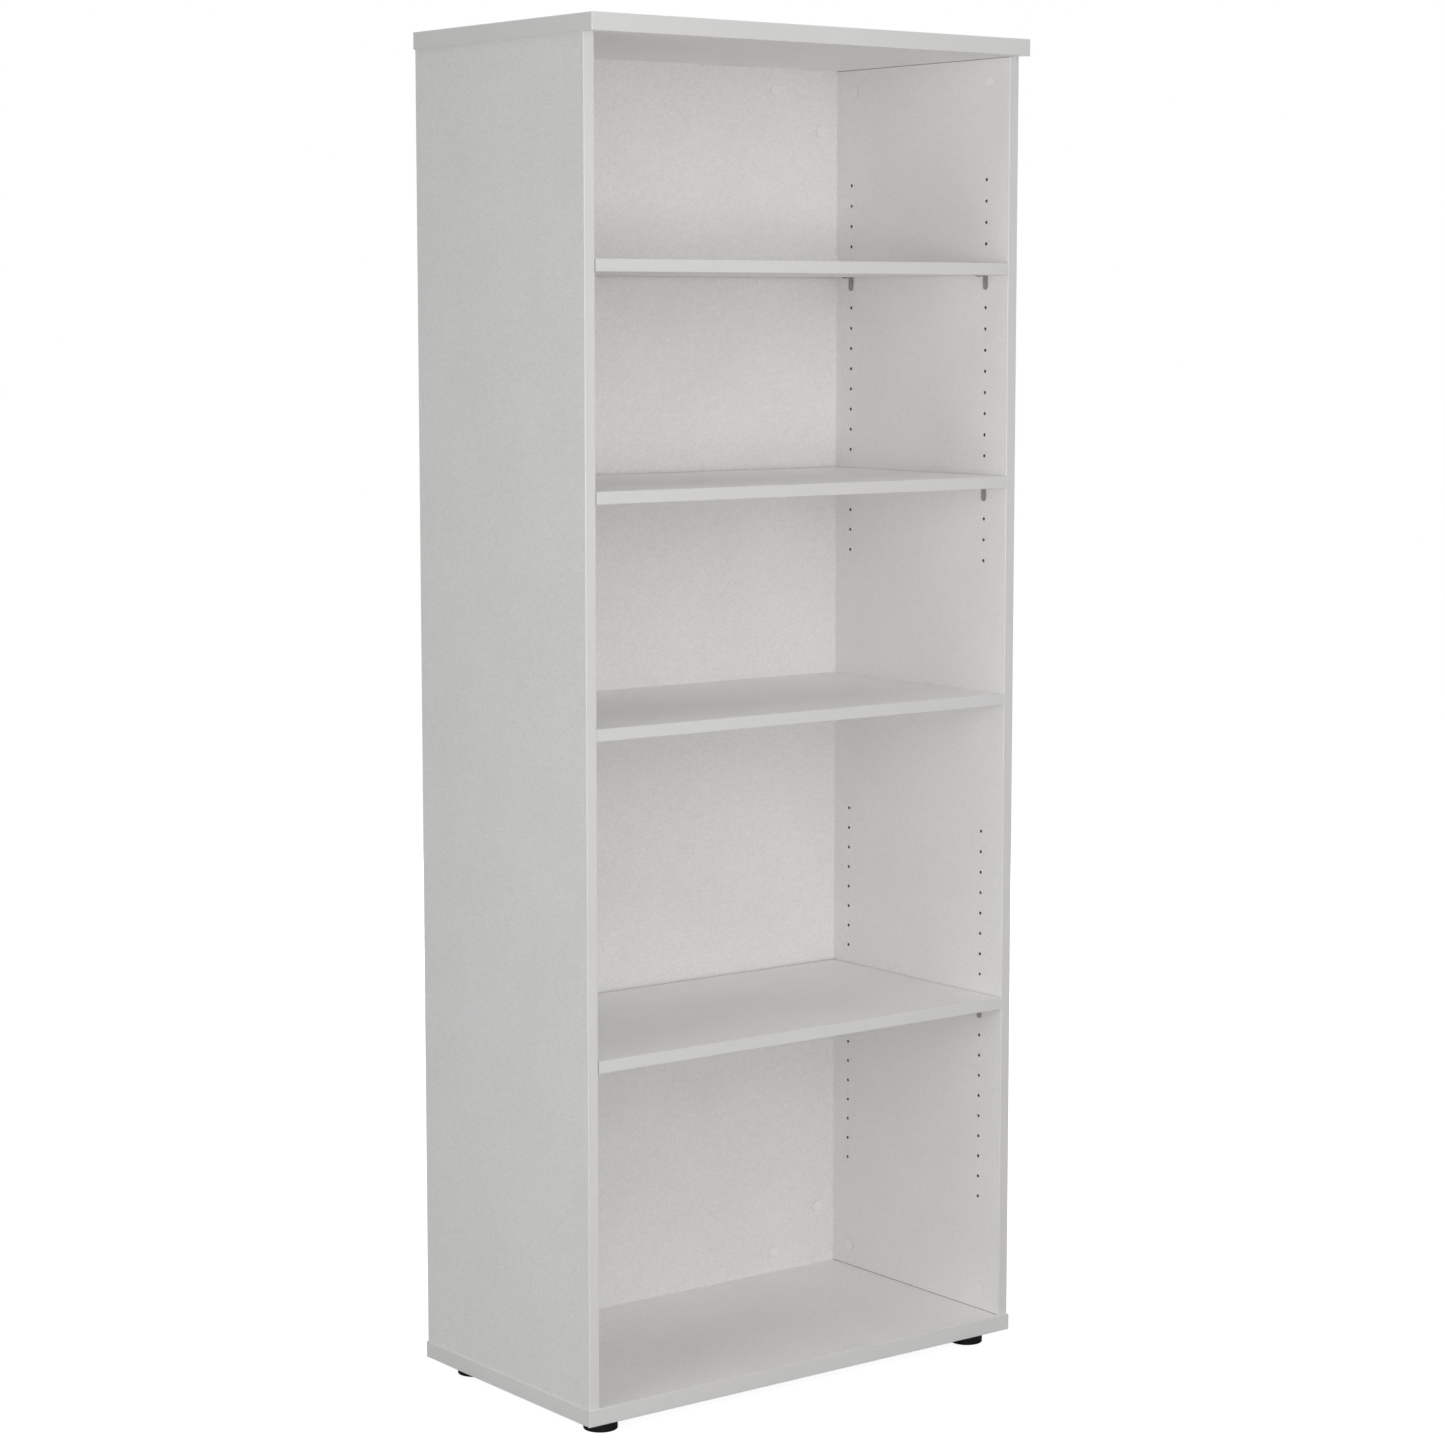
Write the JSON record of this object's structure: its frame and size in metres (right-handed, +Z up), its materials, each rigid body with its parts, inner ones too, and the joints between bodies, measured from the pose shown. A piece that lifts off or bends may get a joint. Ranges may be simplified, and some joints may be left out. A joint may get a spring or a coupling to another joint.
{
  "type": "bookcase with adjustable shelves",
  "caption": "Tall open bookcase of melamine-faced board with a fixed middle shelf, adjustable shelves on plug-in metal supports in rows of pin holes, and round levelling feet.",
  "frame": {"origin": "on the floor, at the centre of the bookcase's outline seen from above", "axes": "+Z up, -Y towards the open front, +X to the right for someone facing the front"},
  "size_m": [0.8, 0.45, 2],
  "materials": {
    "melamine_board": "pale grey-white melamine-faced chipboard, fine satin texture",
    "edge_band": "pale grey-white ABS edge banding, rounded arrises",
    "support_metal": "nickel-plated sheet steel, satin",
    "foot_plastic": "black moulded plastic",
    "foot_steel": "zinc-plated steel",
    "foot_insert": "zinc-plated threaded insert",
    "cam_zinc": "die-cast zinc",
    "bolt_steel": "bright zinc-plated steel",
    "dowel_beech": "plain beech",
    "cap_plastic": "white plastic cover cap"
  },
  "bodies": {
    "carcass": {"top_panel": "melamine_board", "base_panel": "melamine_board", "left_side_panel": "melamine_board", "right_side_panel": "melamine_board", "back_panel": "melamine_board", "fixed_shelf": "melamine_board", "top_edge_band_front": "edge_band", "top_edge_band_rear": "edge_band", "top_edge_band_left": "edge_band", "top_edge_band_right": "edge_band", "base_edge_band_front": "edge_band", "base_edge_band_rear": "edge_band", "base_edge_band_left": "edge_band", "base_edge_band_right": "edge_band", "left_side_edge_band_front": "edge_band", "left_side_edge_band_rear": "edge_band", "right_side_edge_band_front": "edge_band", "right_side_edge_band_rear": "edge_band", "fixed_shelf_edge_band": "edge_band", "foot_inserts": "foot_insert", "cam_locks": "cam_zinc", "cam_bolts": "bolt_steel", "dowels": "dowel_beech", "cam_cover_caps": "cap_plastic"},
    "upper_shelf": {"upper_shelf": "melamine_board", "upper_shelf_edge_band": "edge_band"},
    "second_shelf": {"second_shelf": "melamine_board", "second_shelf_edge_band": "edge_band"},
    "lower_shelf": {"lower_shelf": "melamine_board", "lower_shelf_edge_band": "edge_band"},
    "upper_shelf_support_front_left": {"upper_shelf_support_front_left": "support_metal"},
    "upper_shelf_support_rear_left": {"upper_shelf_support_rear_left": "support_metal"},
    "upper_shelf_support_front_right": {"upper_shelf_support_front_right": "support_metal"},
    "upper_shelf_support_rear_right": {"upper_shelf_support_rear_right": "support_metal"},
    "second_shelf_support_front_left": {"second_shelf_support_front_left": "support_metal"},
    "second_shelf_support_rear_left": {"second_shelf_support_rear_left": "support_metal"},
    "second_shelf_support_front_right": {"second_shelf_support_front_right": "support_metal"},
    "second_shelf_support_rear_right": {"second_shelf_support_rear_right": "support_metal"},
    "lower_shelf_support_front_left": {"lower_shelf_support_front_left": "support_metal"},
    "lower_shelf_support_rear_left": {"lower_shelf_support_rear_left": "support_metal"},
    "lower_shelf_support_front_right": {"lower_shelf_support_front_right": "support_metal"},
    "lower_shelf_support_rear_right": {"lower_shelf_support_rear_right": "support_metal"},
    "foot_pad_front_left": {"foot_pad_front_left": "foot_plastic"},
    "foot_stem_front_left": {"foot_stem_front_left": "foot_steel"},
    "foot_pad_front_right": {"foot_pad_front_right": "foot_plastic"},
    "foot_stem_front_right": {"foot_stem_front_right": "foot_steel"},
    "foot_pad_rear_left": {"foot_pad_rear_left": "foot_plastic"},
    "foot_stem_rear_left": {"foot_stem_rear_left": "foot_steel"},
    "foot_pad_rear_right": {"foot_pad_rear_right": "foot_plastic"},
    "foot_stem_rear_right": {"foot_stem_rear_right": "foot_steel"}
  },
  "joints": [
    {"name": "upper_shelf_lift", "type": "slide", "parent": "carcass", "child": "upper_shelf", "axis": [0, 0, 1], "range_m": [0, 0.16]},
    {"name": "second_shelf_lift", "type": "slide", "parent": "carcass", "child": "second_shelf", "axis": [0, 0, 1], "range_m": [0, 0.256]},
    {"name": "lower_shelf_lift", "type": "slide", "parent": "carcass", "child": "lower_shelf", "axis": [0, 0, 1], "range_m": [0, 0.288]},
    {"name": "upper_shelf_support_front_left_pull", "type": "slide", "parent": "carcass", "child": "upper_shelf_support_front_left", "axis": [1, 0, 0], "range_m": [0, 0.01]},
    {"name": "upper_shelf_support_rear_left_pull", "type": "slide", "parent": "carcass", "child": "upper_shelf_support_rear_left", "axis": [1, 0, 0], "range_m": [0, 0.01]},
    {"name": "upper_shelf_support_front_right_pull", "type": "slide", "parent": "carcass", "child": "upper_shelf_support_front_right", "axis": [-1, 0, 0], "range_m": [0, 0.01]},
    {"name": "upper_shelf_support_rear_right_pull", "type": "slide", "parent": "carcass", "child": "upper_shelf_support_rear_right", "axis": [-1, 0, 0], "range_m": [0, 0.01]},
    {"name": "second_shelf_support_front_left_pull", "type": "slide", "parent": "carcass", "child": "second_shelf_support_front_left", "axis": [1, 0, 0], "range_m": [0, 0.01]},
    {"name": "second_shelf_support_rear_left_pull", "type": "slide", "parent": "carcass", "child": "second_shelf_support_rear_left", "axis": [1, 0, 0], "range_m": [0, 0.01]},
    {"name": "second_shelf_support_front_right_pull", "type": "slide", "parent": "carcass", "child": "second_shelf_support_front_right", "axis": [-1, 0, 0], "range_m": [0, 0.01]},
    {"name": "second_shelf_support_rear_right_pull", "type": "slide", "parent": "carcass", "child": "second_shelf_support_rear_right", "axis": [-1, 0, 0], "range_m": [0, 0.01]},
    {"name": "lower_shelf_support_front_left_pull", "type": "slide", "parent": "carcass", "child": "lower_shelf_support_front_left", "axis": [1, 0, 0], "range_m": [0, 0.01]},
    {"name": "lower_shelf_support_rear_left_pull", "type": "slide", "parent": "carcass", "child": "lower_shelf_support_rear_left", "axis": [1, 0, 0], "range_m": [0, 0.01]},
    {"name": "lower_shelf_support_front_right_pull", "type": "slide", "parent": "carcass", "child": "lower_shelf_support_front_right", "axis": [-1, 0, 0], "range_m": [0, 0.01]},
    {"name": "lower_shelf_support_rear_right_pull", "type": "slide", "parent": "carcass", "child": "lower_shelf_support_rear_right", "axis": [-1, 0, 0], "range_m": [0, 0.01]},
    {"name": "foot_front_left_height", "type": "slide", "parent": "carcass", "child": "foot_pad_front_left", "axis": [0, 0, -1], "range_m": [0, 0.009]},
    {"name": "foot_front_left_screw", "type": "hinge", "parent": "foot_pad_front_left", "child": "foot_stem_front_left", "pos_m": [-0.35, -0.161, 0], "axis": [0, 0, -1], "range_deg": [0, 2160]},
    {"name": "foot_front_right_height", "type": "slide", "parent": "carcass", "child": "foot_pad_front_right", "axis": [0, 0, -1], "range_m": [0, 0.009]},
    {"name": "foot_front_right_screw", "type": "hinge", "parent": "foot_pad_front_right", "child": "foot_stem_front_right", "pos_m": [0.35, -0.161, 0], "axis": [0, 0, -1], "range_deg": [0, 2160]},
    {"name": "foot_rear_left_height", "type": "slide", "parent": "carcass", "child": "foot_pad_rear_left", "axis": [0, 0, -1], "range_m": [0, 0.009]},
    {"name": "foot_rear_left_screw", "type": "hinge", "parent": "foot_pad_rear_left", "child": "foot_stem_rear_left", "pos_m": [-0.35, 0.169, 0], "axis": [0, 0, -1], "range_deg": [0, 2160]},
    {"name": "foot_rear_right_height", "type": "slide", "parent": "carcass", "child": "foot_pad_rear_right", "axis": [0, 0, -1], "range_m": [0, 0.009]},
    {"name": "foot_rear_right_screw", "type": "hinge", "parent": "foot_pad_rear_right", "child": "foot_stem_rear_right", "pos_m": [0.35, 0.169, 0], "axis": [0, 0, -1], "range_deg": [0, 2160]}
  ],
  "couplings": [
    {"joint": "foot_front_left_screw", "follows": "foot_front_left_height", "rad_per_m": 4188.8},
    {"joint": "foot_front_right_screw", "follows": "foot_front_right_height", "rad_per_m": 4188.8},
    {"joint": "foot_rear_left_screw", "follows": "foot_rear_left_height", "rad_per_m": 4188.8},
    {"joint": "foot_rear_right_screw", "follows": "foot_rear_right_height", "rad_per_m": 4188.8}
  ]
}
